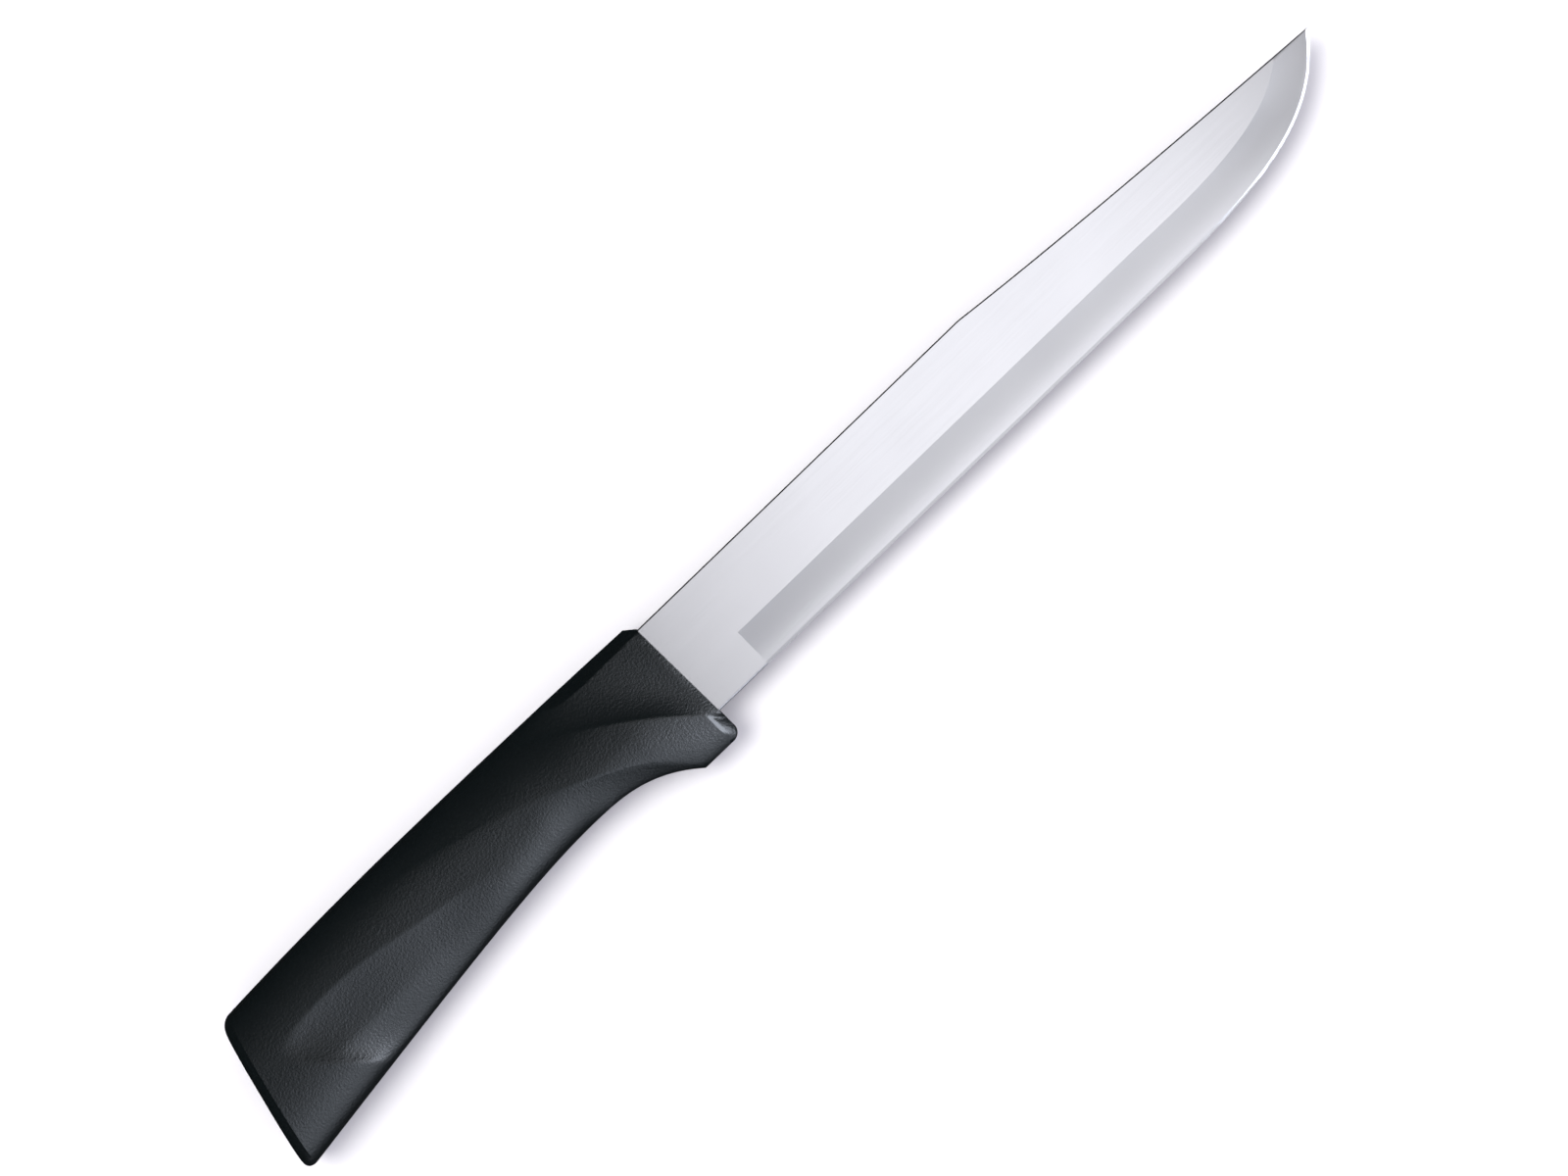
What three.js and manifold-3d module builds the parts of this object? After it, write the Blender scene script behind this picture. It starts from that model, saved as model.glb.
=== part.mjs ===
// A slicing knife in millimetres: a hollow-ground stainless blade and the resin handle moulded over its tang.
// It is drawn with x = 0 at the front of the handle and the tip towards +X, y = 0 along the spine and the
// cutting edge towards -Y, and z = 0 in the middle of the steel. It is then laid on its side.

import * as THREE from "three";
import { mergeVertices } from "three/addons/utils/BufferGeometryUtils.js";
import Module from "manifold-3d";

const wasm = await Module();
wasm.setup();

// Blade outline
const bladeLength = 184; // front of the handle to the tip
const bladeHeight = 23.5; // spine to cutting edge
const bladeThickness = 1.6;
const clipLength = 93; // tip back to the bend in the spine
const tipDrop = 6.5; // spine line down to the tip
const bellyLength = 56; // tip back to where the edge begins to rise
const tipAngle = 55; // degrees between the edge and the spine line at the tip
const tipFullness = 18; // how far the edge keeps that angle

// Grinding
const ricassoLength = 14.5; // unground steel in front of the handle
const grindHeight = 8.9; // edge to grind line along the straight edge
const tipGrindHeight = 7.2; // the same at the tip
const wheelRadius = 90;
const edgeThickness = 0.15; // steel left above the honed edge
const tipEdgeThickness = 0.35; // the same at the tip
const honeHeight = 0.6;
const honeThickness = 0.08;
const grindOverrun = 1.5; // how far the wheel passes beyond the steel

// Tang and the resin that locks it
const clearance = 0.1; // steel to resin
const rootDepth = 4; // full-height blade inside the handle
const tangTop = 5; // spine line down to the tang
const tangCover = 5.3; // resin under the tang at the neck
const tangEndCover = 27; // resin behind the tang, along the spine line
const tangCorner = 2.5;
const keyCount = 3;
const keyRadius = 2.8;
const keyFrontMargin = 22; // front of the handle to the first hole
const keyRearMargin = 16; // end of the tang to the last hole

// Handle outline
const handleLength = 117; // along the spine line
const buttRake = 13.4; // degrees that the butt leans back towards the edge
const frontRake = -1.8;
const crownHeight = 2.9; // highest point of the back, above the spine line
const crownSetback = 66; // front of the handle to that point
const backRearRadius = 830;
const backFrontRadius = 2270;
const noseCover = 0.15; // resin above the pocket at the front face
const noseSlope = 0.8; // chamfer from there up to the back
const neckSetback = 33.5; // front of the handle to its narrowest point
const neckDepth = 22.3; // spine line down to the belly there
const bellySlope = 0.15; // fall of the belly towards the butt
const bellyEase = 3.3; // how gently it starts
const guardDrop = 6.5; // guard below the cutting edge
const guardLength = 9.4;
const guardSweep = 2.75; // how quickly the guard runs into the neck
const guardCorner = 2.4;

// Handle section. Stops are a place along x and the amount there.
const frontWidth = 15.6;
const neckWidth = 16.4;
const palmWidth = 18.6;
const palmFromButt = 33;
const buttWidth = 19.6;
const crestStops = [[-90, 0.42], [-40, 0.55], [-30, 0.55], [-9, 0.34]]; // widest place, share of the depth
const upperSquareness = 2.3; // of the section above its crest, 2 is an oval
const lowerSquarenessStops = [[-70, 3.6], [-36, 2.3]];
const rimSquareness = 9; // of the guard's lower rim
const guardSwell = 8.4; // how far the side's curve reaches down under the guard
const guardSwellFrom = -36;
const guardSwellTo = -6;
const cheekSquareness = 14;
const cheekSink = 1.9; // flat cheek below the side of the grip
const cheekRun = 7; // how soon it gets there behind its crease
const cheekGone = -42;
const cheekFull = -16;
const shoulderStart = -0.6;
const shoulderSlope = 1.5; // narrowing above that height at the front
const facetLength = 1.9; // facet on the front corner of the guard
const facetEdge = 0.7; // its eased inner edge
const facetEdgeSlope = 0.3;
const facetSlope = 0.45;
const facetRunout = 0.5;
const frontEase = 1.6; // how far back the front edge begins to turn in
const frontTurn = 0.32;
const buttCorner = 2.4; // in the outline
const buttRim = 2.7; // width of the rim round the butt
const buttRimTilt = 26; // degrees where the rim begins

// Creases run so that the side falls away on their right. Rear points are drawn from the butt,
// middle ones from half way to the neck, and front ones from the neck.
const cheekCreasePoints = [[-40, 4], [-24, -5.5], [-9, -15.8], [3, -27.5]];
const fingerCreasePoints = [[-100, 3], [-66, -3.1], [-37, -11.6], [-17.4, -21], [-5, -34]];
const palmCreaseRear = [[-12, -14], [2, -11], [12, -9.6], [26, -9.5]];
const palmCreaseMiddle = -11.6;
const palmCreaseFront = [[-19, -16.5], [-8, -28]];
const heelCreaseRear = [[16, -40], [12, -28], [9, -21], [6.5, -15], [5.5, -11], [5.8, -6], [7, -1]];
const tailCreaseRear = [[29, -40], [19.4, -28.2], [13, -23], [7, -17]];

// A scoop reaches its depth over a run from its wall and shallows out again over its fade.
const fingerScoop = { run: 4.5, depthStops: [[-42, 0.6], [-16, 2]], gone: -80, full: -45 };
const palmScoop = { run: 5.5, rearRun: 3.5, fade: 35, depth: 1.4, gone: -52, full: -74 };
const tailScoop = { run: 2, fade: 8, depth: 1, gone: -60, full: -80, goneHeight: -19, fullHeight: -26 };

// Fineness
const sidePoints = 26;
const gripStations = 56;
const guardStations = 18;
const roundStations = 6;
const bellyStations = 24;
const hollowSteps = 6;
const creaseSteps = 8;

const steel = new THREE.MeshStandardMaterial({ color: 0xcfcfd4, roughness: 0.3, metalness: 1 });
const resin = new THREE.MeshStandardMaterial({ color: 0x15191a, roughness: 0.5, metalness: 0 });

const { lerp, clamp, smoothstep, mapLinear, degToRad } = THREE.MathUtils;

function solid(geometry) {
  geometry.deleteAttribute("normal");
  geometry.deleteAttribute("uv");
  const merged = mergeVertices(geometry);
  return new wasm.Manifold(
    new wasm.Mesh({
      numProp: 3,
      vertProperties: new Float32Array(merged.attributes.position.array),
      triVerts: new Uint32Array(merged.index.array),
    })
  );
}

function piece(name, body, material) {
  const result = body.getMesh();
  const geometry = new THREE.BufferGeometry();
  geometry.setAttribute("position", new THREE.BufferAttribute(result.vertProperties, 3));
  geometry.setIndex(new THREE.BufferAttribute(result.triVerts, 1));
  geometry.computeVertexNormals();
  const mesh = new THREE.Mesh(geometry, material);
  mesh.name = name;
  return mesh;
}

// Skins rings of points that turn from +Y towards +Z and follow one another along +X.
function loft(rings) {
  const count = rings[0].length;
  const last = (rings.length - 1) * count;
  const faces = [];
  for (let start = 0; start < last; start += count) {
    for (let i = 0; i < count; i += 1) {
      const a = start + i;
      const b = start + ((i + 1) % count);
      faces.push(a, b, b + count, a, b + count, a + count);
    }
  }
  const cap = (ring) => THREE.ShapeUtils.triangulateShape(ring.map((p) => new THREE.Vector2(p.y, p.z)), []);
  for (const [a, b, c] of cap(rings[0])) {
    faces.push(a, c, b);
  }
  for (const [a, b, c] of cap(rings[rings.length - 1])) {
    faces.push(last + a, last + b, last + c);
  }
  const geometry = new THREE.BufferGeometry().setFromPoints(rings.flat());
  geometry.setIndex(faces);
  return geometry;
}

function plate(shape, thickness) {
  const geometry = new THREE.ExtrudeGeometry(shape, {
    depth: thickness,
    bevelEnabled: false,
    curveSegments: bellyStations,
  });
  return geometry.translate(0, 0, -thickness / 2);
}

// Tang: drawn from the heel round to the spine, and grown on every side for the pocket that it leaves
const tangLength = handleLength - tangEndCover;
const tangBottom = neckDepth - tangCover;
const keyPitch = (tangLength - keyFrontMargin - keyRearMargin) / (keyCount - 1);

function addTang(shape, grow) {
  const root = -rootDepth - grow;
  const rear = -tangLength - grow;
  const upper = -tangTop + grow;
  const lower = -tangBottom - grow;
  shape.lineTo(root, -bladeHeight - grow);
  shape.lineTo(root, lower);
  shape.lineTo(rear + tangCorner, lower);
  shape.quadraticCurveTo(rear, lower, rear, lower + tangCorner);
  shape.lineTo(rear, upper - tangCorner);
  shape.quadraticCurveTo(rear, upper, rear + tangCorner, upper);
  shape.lineTo(root, upper);
  shape.lineTo(root, grow);
  for (let i = 0; i < keyCount; i += 1) {
    const hole = new THREE.Path();
    const along = -keyFrontMargin - i * keyPitch;
    hole.absarc(along, -(tangTop + tangBottom) / 2, keyRadius - grow, 0, 2 * Math.PI);
    shape.holes.push(hole);
  }
}

// Blade blank
const tip = new THREE.Vector2(bladeLength, -tipDrop);
const bend = new THREE.Vector2(bladeLength - clipLength, 0);
const clipPull = new THREE.Vector2(bend.x + clipLength / 3, -tipDrop / 2);
const tipTurn = degToRad(tipAngle);
const tipWay = new THREE.Vector2(Math.cos(tipTurn), Math.sin(tipTurn));
const bellyStart = new THREE.Vector2(bladeLength - bellyLength, -bladeHeight);
const bellyPull = new THREE.Vector2(bellyStart.x + bellyLength / 2, -bladeHeight);
const tipPull = tip.clone().addScaledVector(tipWay, -tipFullness);
const bellyCurve = new THREE.CubicBezierCurve(bellyStart, bellyPull, tipPull, tip);

const blankShape = new THREE.Shape();
blankShape.moveTo(bend.x, bend.y);
blankShape.quadraticCurveTo(clipPull.x, clipPull.y, tip.x, tip.y);
blankShape.bezierCurveTo(tipPull.x, tipPull.y, bellyPull.x, bellyPull.y, bellyStart.x, bellyStart.y);
addTang(blankShape, 0);

// Hollow grind and hone: what the wheel takes off one side, from the ricasso past the tip
function grindRing(foot, way, towardsTip, side) {
  const height = lerp(grindHeight, tipGrindHeight, towardsTip);
  const thin = lerp(edgeThickness, tipEdgeThickness, towardsTip);
  const rise = (bladeThickness - thin) / 2 - height ** 2 / (2 * wheelRadius);
  const hollow = (d) => thin / 2 + (rise * d) / height + d ** 2 / (2 * wheelRadius);
  const honeSlope = (hollow(honeHeight) - honeThickness / 2) / honeHeight;
  const clear = bladeThickness / 2 + grindOverrun;
  const profile = [[-grindOverrun, honeThickness / 2 - honeSlope * grindOverrun]];
  for (let i = 0; i <= hollowSteps; i += 1) {
    const d = lerp(honeHeight, height + grindOverrun, i / hollowSteps);
    profile.push([d, hollow(d)]);
  }
  profile.push([height + grindOverrun, clear], [-grindOverrun, clear]);
  const ring = profile.map(([d, z]) => new THREE.Vector3(foot.x - way.y * d, foot.y + way.x * d, side * z));
  return side > 0 ? ring : ring.reverse();
}

function grindPass(side) {
  const along = new THREE.Vector2(1, 0);
  const start = new THREE.Vector2(ricassoLength, -bladeHeight);
  const rings = [grindRing(start, along, 0, side)];
  for (let i = 0; i <= bellyStations; i += 1) {
    const t = i / bellyStations;
    rings.push(grindRing(bellyCurve.getPoint(t), bellyCurve.getTangent(t), t, side));
  }
  const beyond = tip.clone().addScaledVector(tipWay, tipGrindHeight);
  rings.push(grindRing(beyond, tipWay, 1, side));
  return solid(loft(rings));
}

const blank = solid(plate(blankShape, bladeThickness));
const blade = blank.subtract(grindPass(1)).subtract(grindPass(-1));

// Handle outline
const butt = -handleLength;
const noseRise = clearance + noseCover;
const guardDepth = bladeHeight + guardDrop;
const guardFront = -guardDepth * Math.tan(degToRad(frontRake)); // where the leaning front face ends
const sweepLength = neckSetback - guardLength;

function backLine(x) {
  const behind = -crownSetback - x;
  const radius = behind > 0 ? backRearRadius : backFrontRadius;
  return Math.min(crownHeight - behind ** 2 / (2 * radius), noseRise - x * noseSlope);
}

function bellyLine(x) {
  const behind = -neckSetback - x;
  if (behind > 0) {
    return -neckDepth - (Math.hypot(bellyEase, bellySlope * behind) - bellyEase);
  }
  if (x < -guardLength) {
    const remaining = 1 + (x + guardLength) / sweepLength;
    return -neckDepth - (guardDepth - neckDepth) * remaining ** guardSweep;
  }
  const inCorner = clamp(x - guardFront + guardCorner, 0, guardCorner);
  return -guardDepth + guardCorner - Math.sqrt(guardCorner ** 2 - inCorner ** 2);
}

const ease = (value, from, to) => smoothstep((value - from) / (to - from), 0, 1);

function byStops(stops, x) {
  const found = stops.findIndex(([place]) => x < place);
  if (found < 1) {
    return stops[found < 0 ? stops.length - 1 : 0][1];
  }
  const [from, before] = stops[found - 1];
  const [to, after] = stops[found];
  return lerp(before, after, ease(x, from, to));
}

const widthStops = [
  [butt, buttWidth],
  [butt + palmFromButt, palmWidth],
  [-neckSetback, neckWidth],
  [0, frontWidth],
];

// Scoops in the handle's sides
function crease(points) {
  const curve = new THREE.SplineCurve(points.map(([x, y]) => new THREE.Vector2(x, y)));
  return curve.getPoints(creaseSteps * (points.length - 1));
}

const fromButt = ([x, y]) => [butt + x, y];
const fromNeck = ([x, y]) => [x - neckSetback, y];
const halfWay = [(butt - neckSetback) / 2, palmCreaseMiddle];
const cheekCrease = crease(cheekCreasePoints);
const fingerCrease = crease(fingerCreasePoints);
const palmCrease = crease([...palmCreaseRear.map(fromButt), halfWay, ...palmCreaseFront.map(fromNeck)]);
const heelCrease = crease(heelCreaseRear.map(fromButt));
const tailCrease = crease(tailCreaseRear.map(fromButt));

// Distance to the right of a crease, negative on its left
function inside(line, x, y) {
  let nearest = Infinity;
  let side = 0;
  for (let i = 1; i < line.length; i += 1) {
    const a = line[i - 1];
    const dx = line[i].x - a.x;
    const dy = line[i].y - a.y;
    const share = clamp(((x - a.x) * dx + (y - a.y) * dy) / (dx * dx + dy * dy), 0, 1);
    const distance = Math.hypot(x - a.x - share * dx, y - a.y - share * dy);
    if (distance < nearest) {
      nearest = distance;
      side = dy * (x - a.x) - dx * (y - a.y);
    }
  }
  return side > 0 ? nearest : -nearest;
}

function scoopDepth(x, y) {
  const right = (line) => Math.max(inside(line, x, y), 0);
  const fall = (d, run) => 1 - Math.exp(-d / run);
  const share = ({ gone, full }) => ease(x, gone, full);
  const palm = right(palmCrease);
  const tail = right(tailCrease);
  const fingerDepth = byStops(fingerScoop.depthStops, x) * share(fingerScoop);
  const palmDepth = palmScoop.depth * share(palmScoop) * Math.exp(-palm / palmScoop.fade);
  const tailShare = share(tailScoop) * ease(y, tailScoop.goneHeight, tailScoop.fullHeight);
  const tailDepth = tailScoop.depth * tailShare * Math.exp(-tail / tailScoop.fade);
  return (
    fingerDepth * fall(right(fingerCrease), fingerScoop.run) +
    palmDepth * fall(palm, palmScoop.run) * fall(right(heelCrease), palmScoop.rearRun) +
    tailDepth * fall(tail, tailScoop.run)
  );
}

// Half a section's width, as a share: 1 at the crest, nothing at the top and bottom
function section(across, upper, lower, crest = 0.5) {
  const turned = 2 * Math.max(across, 0) ** (Math.log(0.5) / Math.log(crest)) - 1;
  const power = turned < 0 ? upper : lower;
  return Math.max(1 - Math.min(Math.abs(turned), 1) ** power, 0) ** (1 / power);
}

// One ring of the handle, on a line that leans with the butt and stands up towards the front
function handleRing(station, inset, outlineInset) {
  const lean = Math.tan(degToRad(mapLinear(station, butt, 0, buttRake, frontRake)));
  const meet = (line) => {
    let y = line(station);
    for (let i = 0; i < 4; i += 1) {
      y = line(station + lean * y);
    }
    return y;
  };
  const top = meet(backLine) - outlineInset;
  const bottom = meet(bellyLine) + outlineInset;
  const half = byStops(widthStops, station) / 2;
  const frontFall = frontTurn * Math.max(1 + station / frontEase, 0) ** 2;
  const sideZ = (across, x, y) => {
    const swell = -neckDepth - guardSwell * ease(x, guardSwellFrom, guardSwellTo);
    const depth = (top - y) / (top - Math.min(bottom, swell));
    const round = section(depth, upperSquareness, byStops(lowerSquarenessStops, x), byStops(crestStops, x));
    const grip = x > guardSwellFrom ? round * section(across, rimSquareness, rimSquareness) : round;
    const inFront = ease(x, cheekGone, cheekFull);
    const crossed = inside(cheekCrease, x, y);
    const cheek = half * section(across, cheekSquareness, cheekSquareness) - cheekSink;
    const onCheek = inFront * (1 - Math.exp(Math.min(crossed, 0) / cheekRun));
    const scooped = lerp(half * grip, cheek, onCheek) - scoopDepth(x, y) * grip;
    const above = y - shoulderStart;
    const shoulder = above > 0 ? half - inFront * (cheekSink + shoulderSlope * above) : half;
    const facet = Math.max(x + facetLength, 0);
    const pastEdge = Math.max(facet - facetEdge, 0);
    const facetFall = facetEdgeSlope * (facet - pastEdge) + facetSlope * pastEdge;
    const bevel = facetFall * ease(crossed, 0, facetRunout) * grip;
    return (Math.min(scooped, shoulder) - bevel - frontFall) * (1 - inset / half);
  };
  const ring = [];
  for (let i = 0; i < 2 * sidePoints; i += 1) {
    const across = (1 - Math.cos((Math.PI * i) / sidePoints)) / 2;
    const y = lerp(top, bottom, across);
    const x = station + lean * y;
    const isRim = i % sidePoints === 0;
    const side = i < sidePoints ? 1 : -1;
    ring.push(new THREE.Vector3(x, y, isRim ? 0 : side * sideZ(across, x, y)));
  }
  return ring;
}

// Rings from the butt's rim, which starts at an angle to the side, along the grip and guard to the front face
const guardFoot = -guardLength - guardCorner;
const rimTurn = degToRad(buttRimTilt);
const rimRadius = buttRim / (1 - Math.sin(rimTurn));
const handleRings = [];
for (let i = 0; i < roundStations; i += 1) {
  const along = buttCorner * (1 - Math.cos((Math.PI / 2) * (i / roundStations)));
  const rimRise = Math.sqrt(rimRadius ** 2 - Math.max(rimRadius - along, 0) ** 2);
  const sideInset = Math.max(rimRadius * Math.cos(rimTurn) - rimRise, 0);
  const outlineInset = buttCorner - Math.sqrt(buttCorner ** 2 - (buttCorner - along) ** 2);
  handleRings.push(handleRing(butt + along, sideInset, outlineInset));
}
for (let i = 0; i < gripStations; i += 1) {
  handleRings.push(handleRing(lerp(butt + buttCorner, guardFoot, i / gripStations), 0, 0));
}
for (let i = 0; i <= guardStations; i += 1) {
  handleRings.push(handleRing(lerp(guardFoot, 0, i / guardStations), 0, 0));
}

// The pocket that the steel leaves in the resin, open at the front face
const pocketShape = new THREE.Shape();
pocketShape.moveTo(guardLength, clearance);
pocketShape.lineTo(guardLength, -bladeHeight - clearance);
addTang(pocketShape, clearance);
const pocket = solid(plate(pocketShape, bladeThickness + 2 * clearance));
const handle = solid(loft(handleRings)).subtract(pocket);

const knife = new THREE.Group();
knife.add(piece("blade", blade, steel));
knife.add(piece("handle", handle, resin));

// The origin goes under the middle of the knife as it lies on its side.
const box = new THREE.Box3().setFromObject(knife);
const centre = box.getCenter(new THREE.Vector3());
knife.position.set(-centre.x, -centre.y, -box.min.z);

const part = new THREE.Group();
part.add(knife);

export default part;
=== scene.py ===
import math
from bisect import bisect_left

import bmesh
import bpy
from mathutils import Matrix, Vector
from mathutils.geometry import interpolate_bezier
from mathutils.kdtree import KDTree


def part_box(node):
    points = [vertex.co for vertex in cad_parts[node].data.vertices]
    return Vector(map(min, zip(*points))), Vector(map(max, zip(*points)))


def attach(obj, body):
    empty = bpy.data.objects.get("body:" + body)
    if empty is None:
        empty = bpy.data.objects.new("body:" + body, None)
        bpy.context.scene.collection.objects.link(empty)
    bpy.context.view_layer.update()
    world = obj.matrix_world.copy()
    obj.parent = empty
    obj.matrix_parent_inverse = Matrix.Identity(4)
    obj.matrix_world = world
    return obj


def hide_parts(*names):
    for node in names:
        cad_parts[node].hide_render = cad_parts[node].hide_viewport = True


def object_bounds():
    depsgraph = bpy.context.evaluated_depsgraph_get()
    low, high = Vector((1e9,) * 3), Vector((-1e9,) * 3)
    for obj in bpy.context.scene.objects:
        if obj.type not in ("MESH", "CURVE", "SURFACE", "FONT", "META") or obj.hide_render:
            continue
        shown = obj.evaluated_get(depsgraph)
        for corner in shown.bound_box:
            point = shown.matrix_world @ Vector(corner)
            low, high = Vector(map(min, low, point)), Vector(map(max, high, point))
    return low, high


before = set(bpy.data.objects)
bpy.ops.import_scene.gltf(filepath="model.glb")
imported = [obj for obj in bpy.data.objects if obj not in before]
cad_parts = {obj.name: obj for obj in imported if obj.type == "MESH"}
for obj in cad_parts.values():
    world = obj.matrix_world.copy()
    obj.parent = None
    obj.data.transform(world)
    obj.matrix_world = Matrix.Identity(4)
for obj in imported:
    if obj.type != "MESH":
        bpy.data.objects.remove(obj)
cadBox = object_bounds()
mm = 0.001

# The knife is drawn in millimetres: x = 0 at the front of the handle with the tip towards +x,
# y = 0 along the spine with the cutting edge towards -y, z = 0 in the middle of the steel.
bladeSize = {
    "length": 184.0,            # front of the handle to the tip
    "height": 23.5,             # spine to cutting edge
    "thickness": 1.6,
    "clipLength": 93.0,         # tip back to the bend in the spine
    "clipPull": (1 / 3, 1 / 2),     # shares of its length and drop that its curve is pulled towards
    "tipDrop": 6.5,             # spine line down to the tip
    "bellyLength": 56.0,        # tip back to where the edge begins to rise
    "tipAngle": 55.0,           # degrees, edge to spine line at the tip
    "tipFullness": 18.0,        # how far the edge keeps that angle
    "ricassoLength": 14.5,      # unground steel in front of the handle
    "plungeRun": 0.03,          # how quickly the grind reaches its depth
    "grindHeight": 8.9,         # edge to grind line along the straight edge
    "tipGrindHeight": 7.2,
    "wheelRadius": 90.0,
    "edgeThickness": (0.15, 0.35),  # steel left above the hone, along the straight edge and at the tip
    "honeHeight": 0.6,
    "honeThickness": 0.04,
    "spineRound": 0.3,          # eased corners of the spine and heel
    "tipShare": 0.25,           # share of the height that the hone and the eased spine may take near the tip
    "rootDepth": 4.0,           # full-height steel inside the handle
    "clipPoints": 200,
    "bellyPoints": 400,
    "plungeSteps": 4,
    "columns": 300,
    "tipCrowding": 1.4,         # columns stand closer together towards the tip
    "roundRows": 4,
    "flatRows": 3,
    "hollowRows": 16,
    "honeRows": 4,
}
clearance = 0.1                 # steel to resin
weld = 0.002                    # points nearer than this are merged
crispAngle = math.radians(24)   # faces that meet more sharply than this keep a crisp edge

bladeLow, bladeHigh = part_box("blade")
drawnOrigin = Vector((
    bladeHigh.x - bladeSize["length"] * mm,
    bladeHigh.y,
    (bladeLow.z + bladeHigh.z) / 2,
))


def toFrame(x, y, z):
    return drawnOrigin + Vector((x, y, z)) * mm


def lerp(a, b, share):
    return a + (b - a) * share


def smooth(value, low, high):
    share = min(max((value - low) / (high - low), 0.0), 1.0)
    return share * share * (3 - 2 * share)


def byStops(stops, value):      # eases from each (place, amount) to the next, one alone holds everywhere
    for (a, first), (b, second) in zip(stops, stops[1:]):
        if value < b:
            return lerp(first, second, smooth(value, a, b))
    return stops[-1][1]


def roundOff(d, radius):        # what a rounded corner takes off at d from its edge
    left = max(radius - d, 0.0)
    return radius - math.sqrt(max(radius ** 2 - left ** 2, 0.0))


def yAt(curve, x):              # height of a left-to-right curve at x
    right = min(max(bisect_left(curve, x, key=lambda p: p.x), 1), len(curve) - 1)
    a, b = curve[right - 1], curve[right]
    return lerp(a.y, b.y, (x - a.x) / (b.x - a.x))


def nearestTree(points):        # finds the nearest of a curve's points
    tree = KDTree(len(points))
    for i, point in enumerate(points):
        tree.insert((point.x, point.y, 0.0), i)
    tree.balance()
    return tree


# A side of a piece is a grid one unit wide and high, whose points are then put in their places.
def gridColumn(vert, last):
    return round((vert.co.x + 0.5) * last)


def gridRow(vert, last):        # counted from the top
    return round((0.5 - vert.co.y) * last)


def gridColumns(bm, last):      # points of each column, from the top down
    columns = [[] for i in range(last + 1)]
    for vert in bm.verts:
        columns[gridColumn(vert, last)].append(vert)
    return [sorted(column, key=lambda v: -v.co.y) for column in columns]


def mirrorSide(bm):             # adds the other side of a piece and welds the two
    geom = bm.verts[:] + bm.edges[:] + bm.faces[:]
    bmesh.ops.mirror(bm, geom=geom, axis="Z", merge_dist=weld)
    bmesh.ops.remove_doubles(bm, verts=bm.verts, dist=weld)


def addObject(name, data):
    made = bpy.data.objects.new(name, data)
    bpy.context.scene.collection.objects.link(made)
    return made


def addPiece(name, bm, node, material):
    bmesh.ops.recalc_face_normals(bm, faces=bm.faces)
    for vert in bm.verts:
        vert.co = toFrame(*vert.co)
    for face in bm.faces:
        face.smooth = True
    for edge in bm.edges:
        if edge.is_manifold and edge.calc_face_angle() > crispAngle:
            edge.smooth = False
    mesh = bpy.data.meshes.new(name)
    bm.to_mesh(mesh)
    bm.free()
    mesh.materials.append(material)
    piece = addObject(name, mesh)
    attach(piece, "root")
    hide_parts(node)
    triangles = sum(len(polygon.vertices) - 2 for polygon in mesh.polygons)
    print("piece", name, triangles, "triangles")


# Materials
mixFactor, mixFirst, mixSecond, mixResult = 0, 6, 7, 2      # colour sockets of a Mix node


def linear(hexColour):          # sRGB hex to a linear colour
    parts = [int(hexColour[i:i + 2], 16) / 255 for i in (1, 3, 5)]
    return [c / 12.92 if c <= 0.04045 else ((c + 0.055) / 1.055) ** 2.4 for c in parts] + [1.0]


def addNode(tree, kind, settings=None, links=None):
    node = tree.nodes.new(kind)
    for key, value in (settings or {}).items():
        if isinstance(key, int) or key in node.inputs:
            node.inputs[key].default_value = value
        else:
            setattr(node, key, value)
    for key, socket in (links or {}).items():
        tree.links.new(socket, node.inputs[key])
    return node


def newMaterial(name):
    material = bpy.data.materials.new(name)
    material.use_nodes = True
    material.node_tree.nodes.clear()
    print("material", name)
    return material, material.node_tree


# Stainless sheet, belt ground along the blade and then buffed: a soft reflection
# with hair-fine lines, and slow clouding where the belt pressed harder.
satinFinish = {
    "colour": "#dcdce0",
    "cloudColour": "#d2d2d6",
    "lineSpacing": 0.35,        # mm, drawn a little coarser than real grit so that it shows
    "lineLength": 30.0,         # mm
    "lineDepth": 0.0006,        # mm
    "lineStrength": 0.15,
    "cloudSize": 22.0,          # mm
    "roughness": 0.17,
    "lineRoughness": 0.03,
}


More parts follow.
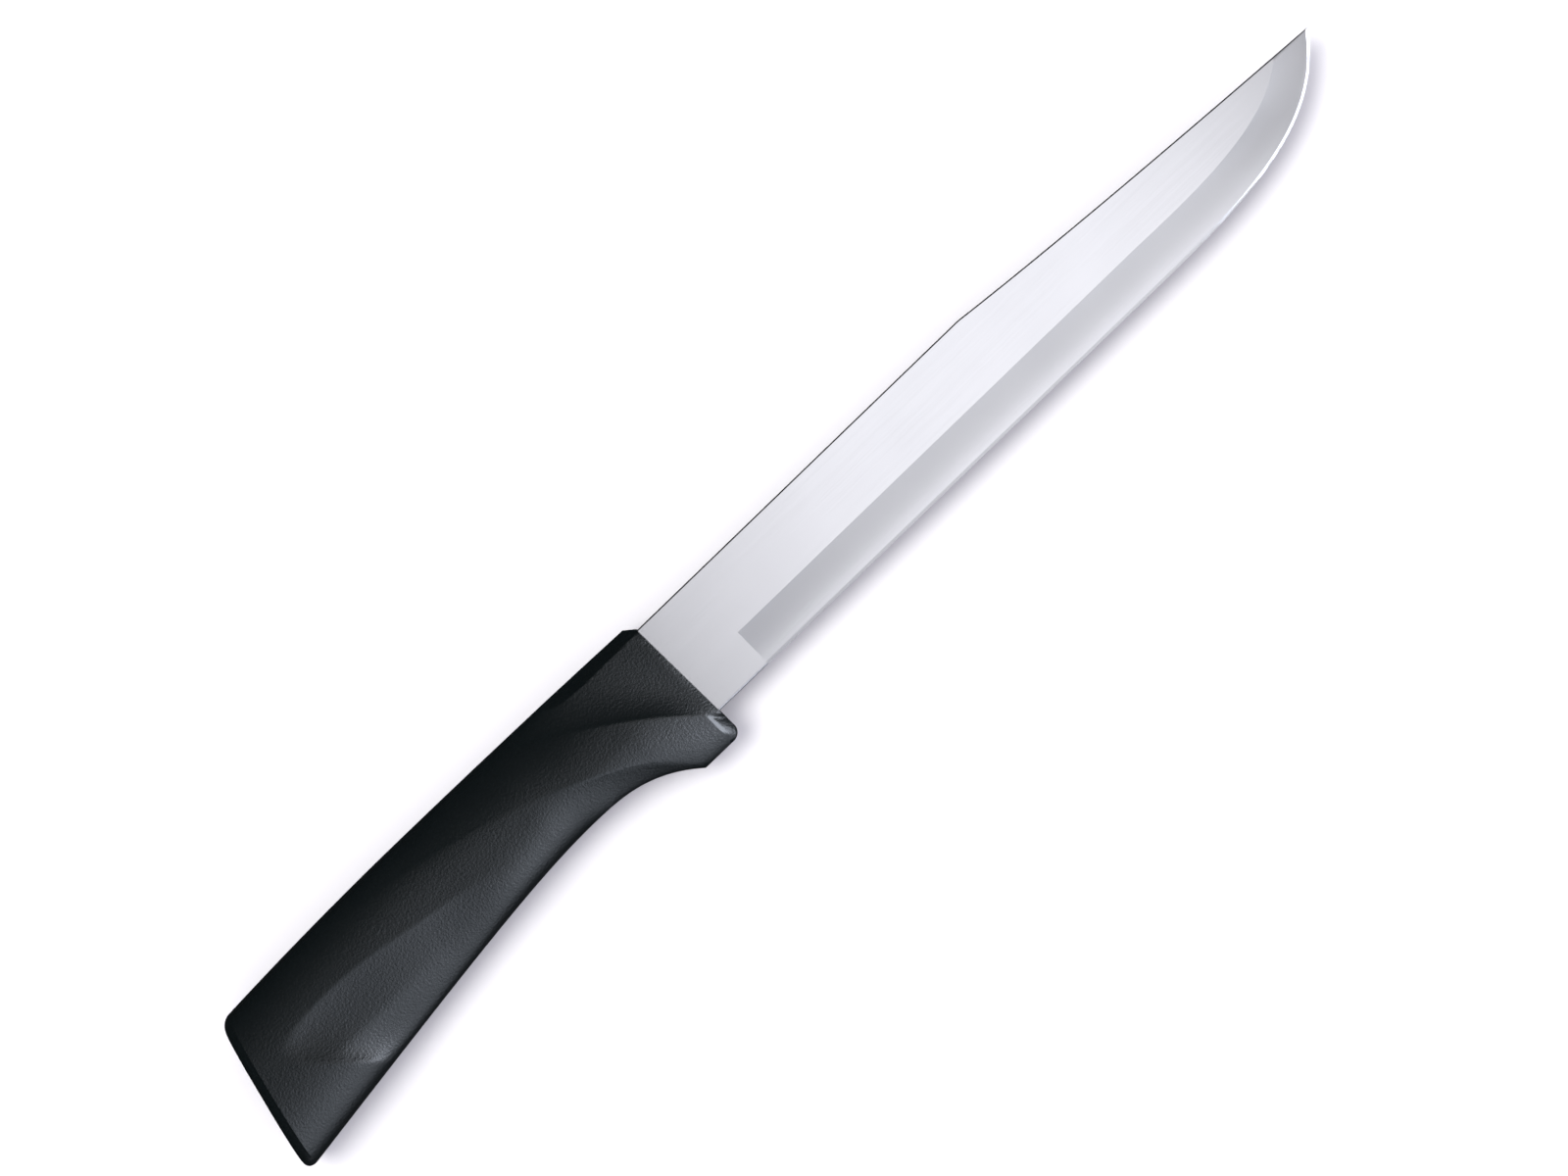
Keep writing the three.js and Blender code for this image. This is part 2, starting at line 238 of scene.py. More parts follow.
def satinStainless():
    material, tree = newMaterial("satin_ground_stainless")
    finish = satinFinish
    place = addNode(tree, "ShaderNodeTexCoord").outputs["Object"]
    across = 1 / (finish["lineSpacing"] * mm)
    along = 1 / (finish["lineLength"] * mm)
    stretch = addNode(tree, "ShaderNodeMapping", {"Scale": (along, across, across)}, {"Vector": place})
    lines = addNode(tree, "ShaderNodeTexNoise", {"Scale": 1.0, "Detail": 3.0, "Roughness": 0.6},
                    {"Vector": stretch.outputs["Vector"]})
    clouds = addNode(tree, "ShaderNodeTexNoise", {"Scale": 1 / (finish["cloudSize"] * mm), "Detail": 2.0},
                     {"Vector": place})
    tint = addNode(tree, "ShaderNodeMix",
                   {"data_type": "RGBA", mixFirst: linear(finish["colour"]),
                    mixSecond: linear(finish["cloudColour"])},
                   {mixFactor: clouds.outputs["Fac"]})
    rough = addNode(tree, "ShaderNodeMapRange",
                    {"To Min": finish["roughness"] - finish["lineRoughness"],
                     "To Max": finish["roughness"] + finish["lineRoughness"]},
                    {"Value": lines.outputs["Fac"]})
    bump = addNode(tree, "ShaderNodeBump",
                   {"Strength": finish["lineStrength"], "Distance": finish["lineDepth"] * mm},
                   {"Height": lines.outputs["Fac"]})
    shader = addNode(tree, "ShaderNodeBsdfPrincipled", {"Metallic": 1.0},
                     {"Base Color": tint.outputs[mixResult], "Roughness": rough.outputs["Result"],
                      "Normal": bump.outputs["Normal"]})
    addNode(tree, "ShaderNodeOutputMaterial", None, {"Surface": shader.outputs["BSDF"]})
    return material


# Black thermoset resin from a spark-eroded mould: a fine even grain that breaks the sheen up,
# a slow change of sheen where the resin flowed, and smoother ridges where a hand rubs.
resinFinish = {
    "colour": "#030809",
    "grainColour": "#091214",
    "grainSize": 0.5,           # mm, drawn coarser than real so that it shows
    "grainDepth": 0.24,         # mm
    "grainStrength": 0.5,       # worn away where the ridges are rubbed
    "flowSize": 14.0,           # mm
    "roughness": 0.38,
    "flowRoughness": 0.04,
    "ridgePolish": 0.18,        # how much smoother the ridges are rubbed
}


def mouldedResin():
    material, tree = newMaterial("moulded_black_resin")
    finish = resinFinish
    place = addNode(tree, "ShaderNodeTexCoord").outputs["Object"]
    grain = addNode(tree, "ShaderNodeTexNoise",
                    {"Scale": 1 / (finish["grainSize"] * mm), "Detail": 2.0, "Roughness": 0.55},
                    {"Vector": place})
    flow = addNode(tree, "ShaderNodeTexNoise", {"Scale": 1 / (finish["flowSize"] * mm), "Detail": 2.0},
                   {"Vector": place})
    tint = addNode(tree, "ShaderNodeMix",
                   {"data_type": "RGBA", mixFirst: linear(finish["colour"]),
                    mixSecond: linear(finish["grainColour"])},
                   {mixFactor: grain.outputs["Fac"]})
    rough = addNode(tree, "ShaderNodeMapRange",
                    {"To Min": finish["roughness"] - finish["flowRoughness"],
                     "To Max": finish["roughness"] + finish["flowRoughness"]},
                    {"Value": flow.outputs["Fac"]})
    polish = addNode(tree, "ShaderNodeAttribute", {"attribute_name": "polish"}).outputs["Fac"]
    rubbed = addNode(tree, "ShaderNodeMath", {"operation": "MULTIPLY_ADD", 1: -finish["ridgePolish"]},
                     {0: polish, 2: rough.outputs["Result"]})
    worn = addNode(tree, "ShaderNodeMath",
                   {"operation": "MULTIPLY_ADD", 1: -finish["grainStrength"], 2: finish["grainStrength"]},
                   {0: polish})
    bump = addNode(tree, "ShaderNodeBump", {"Distance": finish["grainDepth"] * mm},
                   {"Height": grain.outputs["Fac"], "Strength": worn.outputs["Value"]})
    shader = addNode(tree, "ShaderNodeBsdfPrincipled", {"IOR": 1.5},
                     {"Base Color": tint.outputs[mixResult], "Roughness": rubbed.outputs["Value"],
                      "Normal": bump.outputs["Normal"]})
    addNode(tree, "ShaderNodeOutputMaterial", None, {"Surface": shader.outputs["BSDF"]})
    return material


# Blade
def bladeCurves():              # spine, cutting edge and grind line, from inside the handle to the tip
    size = bladeSize
    root = Vector((-size["rootDepth"], 0.0))
    heel = Vector((-size["rootDepth"], -size["height"]))
    tip = Vector((size["length"], -size["tipDrop"]))
    bend = Vector((size["length"] - size["clipLength"], 0.0))
    lengthShare, dropShare = size["clipPull"]
    pull = Vector((bend.x + size["clipLength"] * lengthShare, -size["tipDrop"] * dropShare))
    # both ends reach two thirds of the way to one point, which makes the clip a parabola
    clip = interpolate_bezier(bend, bend.lerp(pull, 2 / 3), tip.lerp(pull, 2 / 3), tip, size["clipPoints"])

    turn = math.radians(size["tipAngle"])
    bellyStart = Vector((size["length"] - size["bellyLength"], -size["height"]))
    bellyPull = Vector((bellyStart.x + size["bellyLength"] / 2, -size["height"]))
    tipPull = tip - size["tipFullness"] * Vector((math.cos(turn), math.sin(turn)))
    belly = interpolate_bezier(bellyStart, bellyPull, tipPull, tip, size["bellyPoints"])

    ridge = [heel + Vector((0.0, size["grindHeight"]))]
    last = len(belly) - 1
    for i, point in enumerate(belly):
        along = (belly[min(i + 1, last)] - belly[max(i - 1, 0)]).normalized()
        rise = lerp(size["grindHeight"], size["tipGrindHeight"], i / last)
        ridge.append(point + rise * Vector((-along.y, along.x)))
    return [root] + clip, [heel] + belly, ridge


def hollowAt(d, height, edge):  # half thickness that the wheel leaves at d from the edge
    size = bladeSize
    rise = (size["thickness"] - edge) / 2 - height ** 2 / (2 * size["wheelRadius"])
    return edge / 2 + rise * d / height + d ** 2 / (2 * size["wheelRadius"])


def honeAt(d, height, edge):    # half thickness under the honed bevel, no limit above it
    size = bladeSize
    start, reach = size["honeThickness"] / 2, size["honeHeight"]
    if d >= reach:
        return size["thickness"]
    return lerp(start, hollowAt(reach, height, edge), d / reach)


def bladeRows(top, ridge, edge):        # heights of one column's points, spine to edge
    size = bladeSize
    most = size["tipShare"] * max(top - edge, 0.0)
    ease = min(size["spineRound"], most)
    low = edge + min(size["honeHeight"], most)
    high = top - ease
    ridge = min(max(ridge, low), high)
    rows = []
    for i in range(size["roundRows"]):
        turn = math.pi / 2 * i / size["roundRows"]
        rows.append(top - ease * (1 - math.cos(turn)))
    for i in range(size["flatRows"]):
        rows.append(lerp(high, ridge, i / size["flatRows"]))
    for i in range(size["hollowRows"]):
        rows.append(lerp(ridge, low, i / size["hollowRows"]))
    for i in range(size["honeRows"] + 1):
        rows.append(lerp(low, edge, i / size["honeRows"]))
    return rows


def bladeSide():
    size = bladeSize
    half = size["thickness"] / 2
    spine, edge, ridge = bladeCurves()
    belly = edge[1:]
    bellyTree = nearestTree(belly)

    steps = size["plungeSteps"]
    xs = [-size["rootDepth"]]
    xs += [size["ricassoLength"] + size["plungeRun"] * i / steps for i in range(steps + 1)]
    plungeEnd = xs[-1]
    for i in range(1, size["columns"] + 1):
        reached = 1 - (1 - i / size["columns"]) ** size["tipCrowding"]
        xs.append(lerp(plungeEnd, size["length"], reached))
    lastColumn = len(xs) - 1
    ridgeRow = size["roundRows"] + size["flatRows"]
    honeRow = ridgeRow + size["hollowRows"]
    lastRow = honeRow + size["honeRows"]

    bm = bmesh.new()
    bmesh.ops.create_grid(bm, x_segments=lastColumn, y_segments=lastRow, size=0.5)
    # crisp lines: end of the eased spine, grind line, top of the hone, both sides of the plunge
    crispRows = (size["roundRows"], ridgeRow, honeRow)
    crispColumns = (1, 1 + steps)
    for gridEdge in bm.edges:
        columnA, columnB = [gridColumn(v, lastColumn) for v in gridEdge.verts]
        rowA, rowB = [gridRow(v, lastRow) for v in gridEdge.verts]
        onRow = rowA == rowB and rowA in crispRows
        onPlunge = columnA == columnB and columnA in crispColumns and min(rowA, rowB) >= ridgeRow
        gridEdge.smooth = not (onRow or onPlunge)

    for x, verts in zip(xs, gridColumns(bm, lastColumn)):
        top, bottom = yAt(spine, x), yAt(edge, x)
        crest = yAt(ridge, x) if x < ridge[-1].x else top
        ground = min(max((x - size["ricassoLength"]) / size["plungeRun"], 0.0), 1.0)
        for vert, y in zip(verts, bladeRows(top, crest, bottom)):
            index, d = bellyTree.find((x, y, 0.0))[1:]
            if x < belly[0].x:          # above the straight edge
                d = abs(y - bottom)
            towardsTip = index / (len(belly) - 1)
            height = lerp(size["grindHeight"], size["tipGrindHeight"], towardsTip)
            thin = lerp(*size["edgeThickness"], towardsTip)
            whole = half - roundOff(d, size["spineRound"])
            z = lerp(whole, min(half, hollowAt(d, height, thin), honeAt(d, height, thin)), ground)
            z -= roundOff(top - y, size["spineRound"]) * z / half
            vert.co = (x, y, z)
    return bm


def makeBlade(material):
    bm = bladeSide()
    bmesh.ops.remove_doubles(bm, verts=bm.verts, dist=weld)
    rim = [e for e in bm.edges if e.is_boundary]
    made = bmesh.ops.extrude_edge_only(bm, edges=rim)
    for vert in [g for g in made["geom"] if isinstance(g, bmesh.types.BMVert)]:
        vert.co.z = 0.0
    mirrorSide(bm)
    addPiece("knife_blade", bm, "blade", material)


makeBlade(satinStainless())

# Handle
handleSize = {
    "length": 117.0,            # along the spine line
    "buttRake": 13.4,           # degrees that the butt leans back towards the edge
    "frontRake": -1.8,          # degrees, the front face leans the other way
    "crownHeight": 2.9,         # highest point of the back above the spine line
    "crownSetback": 66.0,
    "backRearRadius": 830.0,
    "backFrontRadius": 2270.0,
    "noseCover": 0.15,          # resin above the blade at the front face
    "noseSlope": 0.8,           # of the back's chamfer there
    "neckSetback": 33.5,        # front of the handle to its narrowest point
    "neckDepth": 22.3,
    "bellySlope": 0.15,         # fall of the belly towards the butt
    "bellyEase": 3.3,           # how gently that fall begins
    "guardDrop": 6.5,           # guard below the cutting edge
    "guardLength": 9.4,
    "guardSweep": 2.75,         # how late the belly sweeps down to it
    "guardCorner": 2.4,
    "width": ((-117.0, 19.6), (-84.0, 18.6), (-33.5, 16.4), (0.0, 15.6)),       # by x
    "crest": ((-90.0, 0.45), (-40.0, 0.59), (-30.0, 0.63), (-9.0, 0.50)),       # widest place, share of depth
    "upperSquareness": 2.6,     # of the section above the crest, 2 is an oval
    "lowerSquareness": ((-104.0, 2.6), (-84.0, 2.45), (-55.0, 2.5), (-36.0, 2.0), (-14.0, 1.8)),
    "rimSquareness": ((-36.0, 60.0), (-26.0, 9.0)),     # of the guard's lower rim, by x
    "guardSwell": 8.0,          # how far the side's curve reaches down under the guard
    "guardSwellFrom": -36.0,
    "guardSwellTo": -6.0,
    "guardTaper": 0.18,         # slope of the sides towards the front
    "guardTaperFrom": -16.0,
    "guardTaperEase": 4.0,
    "cheekTaper": 0.15,         # share of that slope at the top of the cheek
    "cheekTaperRun": (-13.0, 0.0),      # where it grows to all of it, across the cheek's crease
    "cheekSquareness": 14.0,
    "cheekSink": 2.1,           # flat cheek below the side of the grip
    "cheekRun": 4.2,            # how soon it gets there from its crease
    "cheekGone": -42.0,
    "cheekFull": -16.0,
    "shoulderStart": -0.6,      # height where the bevel above the cheek begins
    "shoulderSlope": 1.5,
    "facetLength": 1.9,         # facet on the front corner of the guard
    "facetEdge": 0.7,           # its eased inner edge
    "facetEdgeSlope": 0.5,
    "facetSlope": 0.9,
    "facetRunout": (-0.8, 0.3),         # where it comes in, across the cheek's crease
    "frontEase": 1.6,           # how far back the front edge begins to turn in
    "frontTurn": 0.32,
    "buttCorner": 2.4,          # in the outline
    "buttRim": 2.7,             # width of the rim round the butt
    "buttRimTilt": 26.0,        # degrees where the rim begins
    "ridgeWidth": 0.7,          # of the rubbed ridges
    "ridgeRub": 0.4,            # how much they are rubbed, where the facet's edge has 1
    "ridgeEase": 0.14,          # how softly the side turns over them
    "heelUnrubbed": 8.0,        # how far from the heel the palm's ridge is rubbed less
    "creaseSteps": 160,         # between two points of a crease
    "rakeRounds": 4,            # that settle where a leaning ring meets the outline
    "sidePoints": 128,
    "buttRings": 14,
    "gripRings": 280,
    "guardRings": 60,
}
butt = -handleSize["length"]
neck = -handleSize["neckSetback"]

# Creases run so that the side falls away on their right.
creases = {
    "cheek": [(-40, 4), (-24, -5.5), (-9, -15.8), (3, -27.5)],
    "finger": [(-100, 3), (-66, -2.8), (-49, -7.0), (-36, -11.5), (-17.4, -21), (-5, -34)],
    "palm": [(butt - 12, -18), (butt + 3, -12), (butt + 12, -9.7), (butt + 26, -9.4),
             ((butt + neck) / 2, -11.6), (neck - 19, -16.5), (neck - 8, -28)],
    "heel": [(butt + 30, -40.4), (butt + 20.2, -28.7), (butt + 14.4, -22.6), (butt + 9.6, -18.2),
             (butt + 6.8, -14.6), (butt + 5.8, -11), (butt + 5.8, -6), (butt + 7, -1)],
    "tail": [(butt + 30, -40.4), (butt + 20.2, -28.7), (butt + 14.4, -22.6), (butt + 8.5, -17)],
}
# A scoop reaches its depth, given by x, over a run from each of its walls,
# and shallows out again over its fade. It comes in between two places along x, the tail also along y.
scoops = {
    "finger": {"walls": {"finger": 8.6}, "fade": 1000.0, "alongX": (-90.0, -62.0),
               "depth": ((-60.0, 0.75), (-42.0, 0.9), (-14.0, 6.5))},
    "palm": {"walls": {"palm": 9.2, "heel": 6.2}, "fade": 36.0, "alongX": (-52.0, -74.0),
             "depth": ((0.0, 2.7),)},
    "tail": {"walls": {"tail": 5.0}, "fade": 14.0, "alongX": (-60.0, -80.0), "alongY": (-19.0, -25.5),
             "depth": ((0.0, 2.0),)},
}


def splinePoint(points, t):     # smooth curve through all points, t from 0 to 1
    last = len(points) - 1
    i = min(int(t * last), last - 1)
    s = t * last - i
    p = [Vector(points[min(max(i + k, 0), last)]) for k in (-1, 0, 1, 2)]
    v0, v1 = (p[2] - p[0]) / 2, (p[3] - p[1]) / 2
    return ((2 * (p[1] - p[2]) + v0 + v1) * s ** 3 + (3 * (p[2] - p[1]) - 2 * v0 - v1) * s ** 2
            + v0 * s + p[1])


creaseLines = {}
for name, points in creases.items():
    count = handleSize["creaseSteps"] * (len(points) - 1)
    line = [splinePoint(points, i / count) for i in range(count + 1)]
    creaseLines[name] = (line, nearestTree(line))


def inside(name, x, y):         # distance to the right of a crease, negative on its left
    line, tree = creaseLines[name]
    i, distance = tree.find((x, y, 0.0))[1:]
    i = min(max(i, 1), len(line) - 2)
    along = line[i + 1] - line[i - 1]
    off = (along.y * (x - line[i].x) - along.x * (y - line[i].y)) / along.length
    return off if abs(off) < distance else math.copysign(distance, off)


def scoopDepth(x, y):
    total = 0.0
    ease = handleSize["ridgeEase"]
    for scoopName, scoop in scoops.items():
        depth = byStops(scoop["depth"], x) * smooth(x, *scoop["alongX"])
        if "alongY" in scoop:
            depth *= smooth(y, *scoop["alongY"])
        depth *= math.exp(-max(inside(scoopName, x, y), 0.0) / scoop["fade"])
        for wall, run in scoop["walls"].items():
            d = inside(wall, x, y)
            eased = max(d, 0.0) + ease * math.log1p(math.exp(-abs(d) / ease))
            depth *= math.tanh(eased / run)
        total += depth
    return total


def ridgePolish(x, y):          # 1 on a ridge that the hand rubs, falling to 0 beside it
    size = handleSize
    rubbed = 0.0
    strength = {"cheek": smooth(x, size["cheekGone"], size["cheekFull"])}
    for name in ("finger", "palm"):
        strength[name] = smooth(x, *scoops[name]["alongX"])
    strength["palm"] *= smooth(inside("heel", x, y), 0.0, size["heelUnrubbed"])
    for name, share in strength.items():
        off = inside(name, x, y) / size["ridgeWidth"]
        rubbed = max(rubbed, size["ridgeRub"] * share * math.exp(-off ** 2))
    if inside("cheek", x, y) > 0:
        offEdge = x + size["facetLength"] - size["facetEdge"] / 2
        rubbed = max(rubbed, math.exp(-(offEdge / size["facetEdge"]) ** 2))
    return rubbed


def backLine(x):
    size = handleSize
    behind = -size["crownSetback"] - x
    radius = size["backRearRadius"] if behind > 0 else size["backFrontRadius"]
    nose = clearance + size["noseCover"] - x * size["noseSlope"]
    return min(size["crownHeight"] - behind ** 2 / (2 * radius), nose)


def bellyLine(x):
    size = handleSize
    guardDepth = bladeSize["height"] + size["guardDrop"]
    behind = neck - x
    if behind > 0:
        sag = math.hypot(size["bellyEase"], size["bellySlope"] * behind) - size["bellyEase"]
        return -size["neckDepth"] - sag
    if x < -size["guardLength"]:
        remaining = 1 + (x + size["guardLength"]) / (size["neckSetback"] - size["guardLength"])
        return -size["neckDepth"] - (guardDepth - size["neckDepth"]) * remaining ** size["guardSweep"]
    front = -guardDepth * math.tan(math.radians(size["frontRake"]))
    return -guardDepth + roundOff(front - x, size["guardCorner"])


def handleRings():              # station, side inset and outline inset of each ring, butt to front
    size = handleSize
    guardFoot = -size["guardLength"] - size["guardCorner"]
    tilt = math.radians(size["buttRimTilt"])
    radius = size["buttRim"] / (1 - math.sin(tilt))
    corner = size["buttCorner"]
    rings = []
    for i in range(size["buttRings"]):
        along = corner * (1 - math.cos(math.pi / 2 * i / size["buttRings"]))
        rise = radius - roundOff(along, radius)
        side = max(radius * math.cos(tilt) - rise, 0.0)
        rings.append((butt + along, side, roundOff(along, corner)))
    for i in range(size["gripRings"]):
        rings.append((lerp(butt + corner, guardFoot, i / size["gripRings"]), 0.0, 0.0))
    for i in range(size["guardRings"] + 1):
        rings.append((lerp(guardFoot, 0.0, i / size["guardRings"]), 0.0, 0.0))
    return rings


def section(across, upper, lower, crest=0.5):   # 1 at the crest, 0 at the top and bottom
    turned = 2 * max(across, 0.0) ** (math.log(0.5) / math.log(crest)) - 1
    power = upper if turned < 0 else lower
    return max(1 - min(abs(turned), 1.0) ** power, 0.0) ** (1 / power)


def sideZ(across, x, y, station, inset, top, bottom):   # half width of the handle at a point of its side
    size = handleSize
    half = byStops(size["width"], station) / 2
    swell = -size["neckDepth"] - size["guardSwell"] * smooth(x, size["guardSwellFrom"], size["guardSwellTo"])
    low = min(bottom, swell)
    grip = section((top - y) / (top - low), size["upperSquareness"], byStops(size["lowerSquareness"], x),
                   byStops(size["crest"], x))
    if x > size["guardSwellFrom"]:
        rim = byStops(size["rimSquareness"], x)
        grip *= section(across, rim, rim)

    inFront = smooth(x, size["cheekGone"], size["cheekFull"])
    crossed = inside("cheek", x, y)
    flat = half * section(across, size["cheekSquareness"], size["cheekSquareness"]) - size["cheekSink"]
    z = lerp(half * grip, flat, inFront * (1 - math.exp(min(crossed, 0.0) / size["cheekRun"])))
    z -= scoopDepth(x, y) * grip

    ahead = max(x - size["guardTaperFrom"], 0.0)
    easedAhead = ahead - size["guardTaperEase"] * (1 - math.exp(-ahead / size["guardTaperEase"]))
    taper = size["guardTaper"] * lerp(size["cheekTaper"], 1.0, smooth(crossed, *size["cheekTaperRun"]))
    z -= taper * easedAhead * grip
    if y > size["shoulderStart"]:
        bevel = size["cheekSink"] + size["shoulderSlope"] * (y - size["shoulderStart"])
        z = min(z, half - inFront * bevel)

    intoFacet = max(x + size["facetLength"], 0.0)
    facet = (size["facetEdgeSlope"] * min(intoFacet, size["facetEdge"])
             + size["facetSlope"] * max(intoFacet - size["facetEdge"], 0.0))
    z -= facet * smooth(crossed, *size["facetRunout"]) * grip
    z -= size["frontTurn"] * max(1 + station / size["frontEase"], 0.0) ** 2
    return max(z, 0.0) * (1 - inset / half)


def makeHandle(material):
    size = handleSize
    rings = handleRings()
    lastRing = len(rings) - 1
    bm = bmesh.new()
    bmesh.ops.create_grid(bm, x_segments=lastRing, y_segments=size["sidePoints"], size=0.5)
    polish = bm.verts.layers.float.new("polish")
    for (station, inset, outlineInset), verts in zip(rings, gridColumns(bm, lastRing)):
        rake = lerp(size["buttRake"], size["frontRake"], (station - butt) / size["length"])
        lean = math.tan(math.radians(rake))
        top, bottom = backLine(station), bellyLine(station)
        for i in range(size["rakeRounds"]):
            top, bottom = backLine(station + lean * top), bellyLine(station + lean * bottom)
        top -= outlineInset
        bottom += outlineInset
        for vert in verts:
            across = (1 - math.cos(math.pi * (0.5 - vert.co.y))) / 2    # closer together at both rims
            y = lerp(top, bottom, across)
            x = station + lean * y
            vert[polish] = ridgePolish(x, y)
            vert.co = (x, y, sideZ(across, x, y, station, inset, top, bottom))
    mirrorSide(bm)
    bmesh.ops.holes_fill(bm, edges=[e for e in bm.edges if e.is_boundary], sides=0)
    addPiece("knife_handle", bm, "handle", material)


makeHandle(mouldedResin())

# Floor of uncoated white paper: matte, with nothing on it but the knife's soft shadow
floorSetup = {"colour": "#f2f2f4", "roughness": 0.9, "halfWidth": 4.0}      # metres
paper, paperTree = newMaterial("matte_white_paper")
paperShader = addNode(paperTree, "ShaderNodeBsdfPrincipled",
                      {"Base Color": linear(floorSetup["colour"]), "Roughness": floorSetup["roughness"],
                       "Specular IOR Level": 0.0})
addNode(paperTree, "ShaderNodeOutputMaterial", None, {"Surface": paperShader.outputs["BSDF"]})
floorBm = bmesh.new()
bmesh.ops.create_grid(floorBm, x_segments=1, y_segments=1, size=floorSetup["halfWidth"])
floorMesh = bpy.data.meshes.new("studio_floor")
floorBm.to_mesh(floorMesh)
floorBm.free()
floorMesh.materials.append(paper)
floor = addObject("studio_floor", floorMesh)
floor.visible_glossy = False    # keeps the rims of the handle dark
print("floor laid")

# Camera: straight above, turned so that the knife points up to the right
cameraSetup = {
    "lens": 135.0,
    "turn": 44.0,               # degrees
    "pixel": 0.2,               # mm on the blade for each pixel of a 1600 wide image
    "imageMiddle": (800, 600),
    "frontCorner": (650, 643),  # pixel where the spine leaves the handle
}
turn = math.radians(cameraSetup["turn"])
imageRight = Vector((math.cos(turn), -math.sin(turn), 0.0))
imageUp = Vector((math.sin(turn), math.cos(turn), 0.0))
pixel = cameraSetup["pixel"] * mm
middleX, middleY = cameraSetup["imageMiddle"]
cornerX, cornerY = cameraSetup["frontCorner"]
camera = bpy.data.cameras.new("studio_camera")
camera.lens = cameraSetup["lens"]
cameraHeight = camera.lens / camera.sensor_width * 2 * middleX * pixel
overMiddle = drawnOrigin + (middleX - cornerX) * pixel * imageRight + (cornerY - middleY) * pixel * imageUp
cameraObject = addObject("studio_camera", camera)
cameraObject.location = overMiddle + Vector((0, 0, cameraHeight))
cameraObject.rotation_euler = (0.0, 0.0, -turn)
bpy.context.scene.camera = cameraObject

# Light: a soft sun makes the shadow, panels that only show in reflections make the sheen.
# Some panels are aimed at the knife, the others hang level. Places, from its middle, and sizes are in metres.
middle = (cadBox[0] + cadBox[1]) / 2
white = "#fcfcff"
coolWhite = "#eaf1ff"
panels = {
    "wide_panel": {"at": (0.25, -0.15, 1.2), "size": (0.66, 0.70), "radiance": 0.41, "colour": white},
    "ceiling_panel": {"at": (0.15, -0.15, 1.21), "size": (0.29, 0.70), "radiance": 0.38, "colour": white},
    "overhead_panel": {"at": (0.095, 0.0, 1.22), "size": (0.35, 0.30), "radiance": 0.60, "colour": white},
    "tip_panel": {"at": (0.52, -0.22, 1.23), "size": (0.30, 0.30), "radiance": 0.25, "colour": white},
    "edge_panel": {"at": (0.95, -0.40, 1.05), "size": (0.55, 0.55), "radiance": 2.2, "colour": white,
                   "aimed": True},
    "grip_panel": {"at": (-0.33, -0.38, 1.2), "size": (0.45, 0.45), "radiance": 0.95, "colour": coolWhite},
    "belly_panel": {"at": (0.28, -0.76, 0.75), "size": (1.5, 0.96), "radiance": 2.25, "colour": coolWhite,
                    "aimed": True},
    "apron_panel": {"at": (0.10, -1.00, 0.12), "size": (1.6, 0.4), "radiance": 1.4, "colour": coolWhite,
                    "aimed": True},
    "front_panel": {"at": (0.62, -0.66, 0.47), "size": (0.6, 0.6), "radiance": 8.5, "colour": coolWhite,
                    "aimed": True},
}
for name, panel in panels.items():
    light = bpy.data.lights.new(name, "AREA")
    light.shape = "RECTANGLE"
    light.size, light.size_y = panel["size"]
    light.energy = panel["radiance"] * math.pi * light.size * light.size_y
    light.color = linear(panel["colour"])[:3]
    lamp = addObject(name, light)
    lamp.location = middle + Vector(panel["at"])
    if panel.get("aimed"):
        lamp.rotation_euler = Vector(panel["at"]).to_track_quat("Z", "Y").to_euler()
    lamp.visible_camera = False
    lamp.visible_diffuse = False

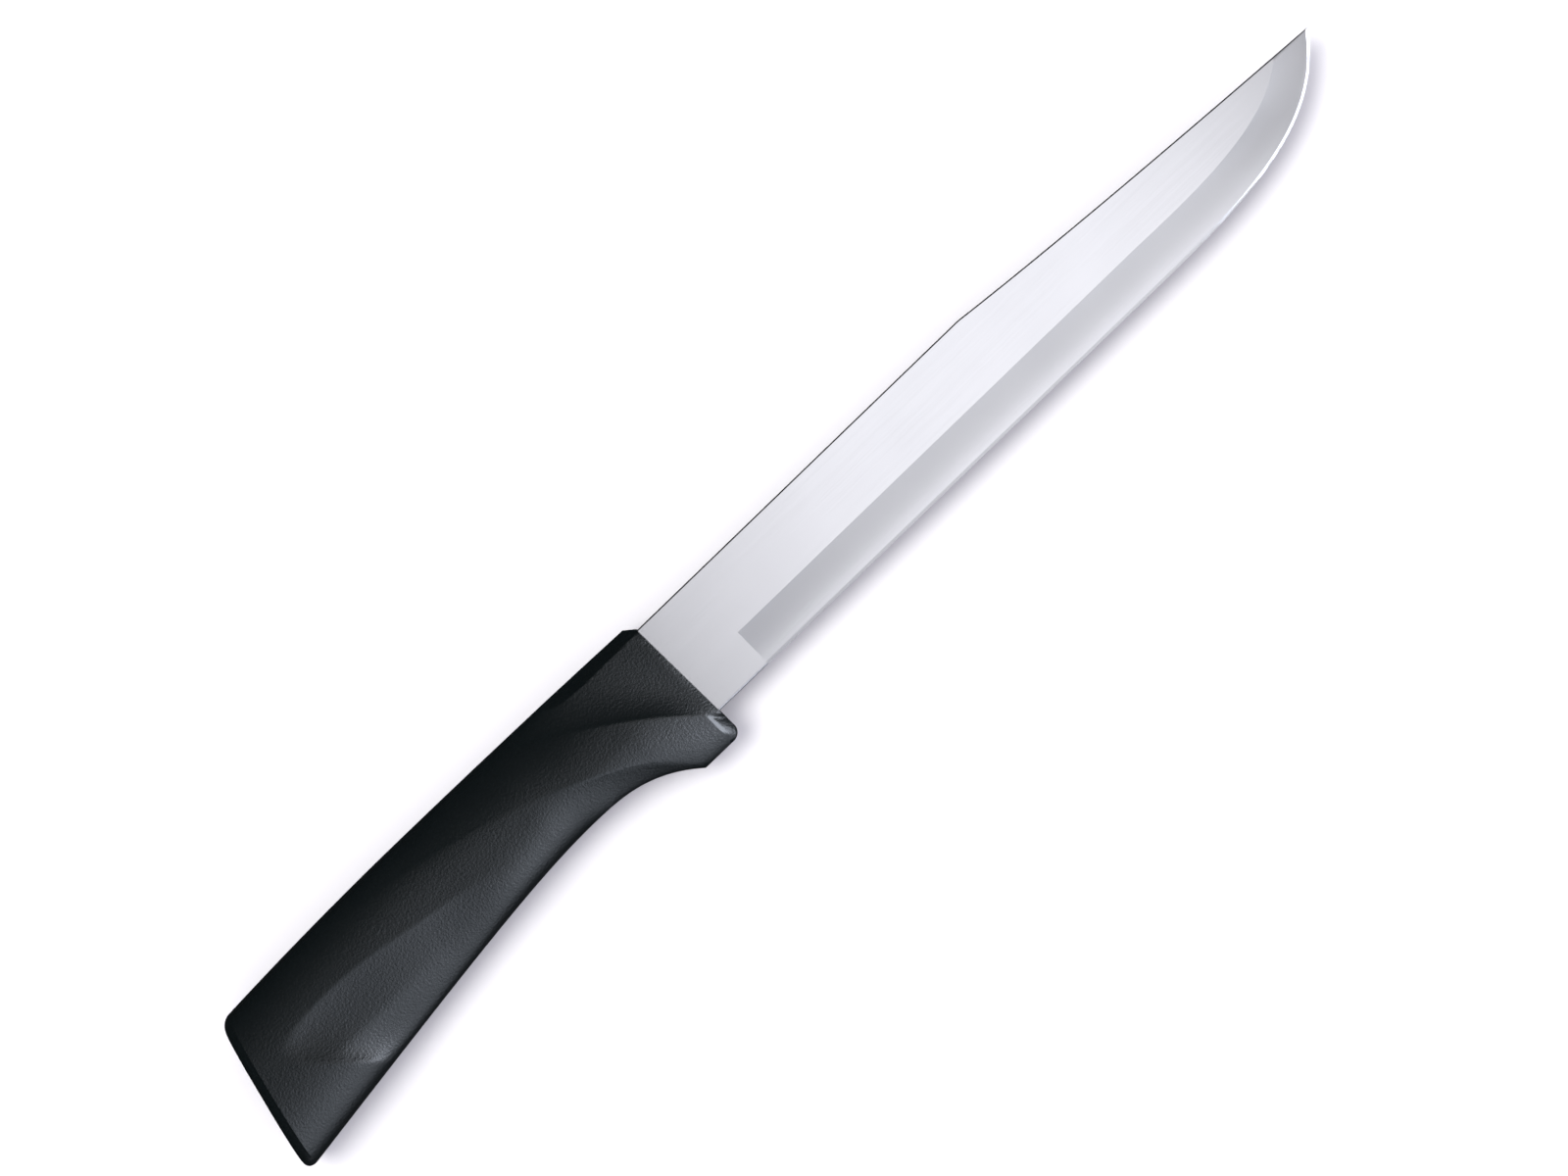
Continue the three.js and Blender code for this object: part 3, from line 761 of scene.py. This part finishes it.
keySetup = {
    "elevation": 68.0,          # degrees, from the left of the image
    "angle": 28.0,              # degrees across, which softens the shadow
    "strength": 1.8,
    "colour": "#fffdf8",
}
key = bpy.data.lights.new("key_sun", "SUN")
key.energy = keySetup["strength"]
key.angle = math.radians(keySetup["angle"])
key.color = linear(keySetup["colour"])[:3]
keyRise = math.radians(keySetup["elevation"])
towardsKey = -imageRight * math.cos(keyRise) + Vector((0, 0, math.sin(keyRise)))
keyObject = addObject("key_sun", key)
keyObject.rotation_euler = towardsKey.to_track_quat("Z", "Y").to_euler()
keyObject.visible_glossy = False
keyObject.visible_camera = False

# The world is white behind the knife, fills its shadow evenly and is nearly dark in reflections.
worldSetup = {
    "backdrop": "#ffffff",
    "fill": "#f0eef8",
    "fillStrength": 1.05,
    "dimLow": 0.015,            # in reflections of the horizon
    "dimHigh": 0.08,            # and of what is overhead
}
world = bpy.data.worlds.new("studio_world")
bpy.context.scene.world = world
world.use_nodes = True
worldTree = world.node_tree
worldTree.nodes.clear()
rays = addNode(worldTree, "ShaderNodeLightPath").outputs
direction = addNode(worldTree, "ShaderNodeTexCoord").outputs["Generated"]
height = addNode(worldTree, "ShaderNodeSeparateXYZ", None, {"Vector": direction}).outputs["Z"]
dim = addNode(worldTree, "ShaderNodeMapRange",
              {"To Min": worldSetup["dimLow"], "To Max": worldSetup["dimHigh"]},
              {"Value": height}).outputs["Result"]
fillColour = [c * worldSetup["fillStrength"] for c in linear(worldSetup["fill"])[:3]] + [1.0]
unseen = addNode(worldTree, "ShaderNodeMix", {"data_type": "RGBA", mixFirst: fillColour},
                 {mixFactor: rays["Is Glossy Ray"], mixSecond: dim})
seen = addNode(worldTree, "ShaderNodeMix", {"data_type": "RGBA", mixSecond: linear(worldSetup["backdrop"])},
               {mixFactor: rays["Is Camera Ray"], mixFirst: unseen.outputs[mixResult]})
background = addNode(worldTree, "ShaderNodeBackground", None, {"Color": seen.outputs[mixResult]})
addNode(worldTree, "ShaderNodeOutputWorld", None, {"Surface": background.outputs["Background"]})

view = bpy.context.scene.view_settings
view.view_transform = "Standard"
view.look = "None"
print("studio ready")
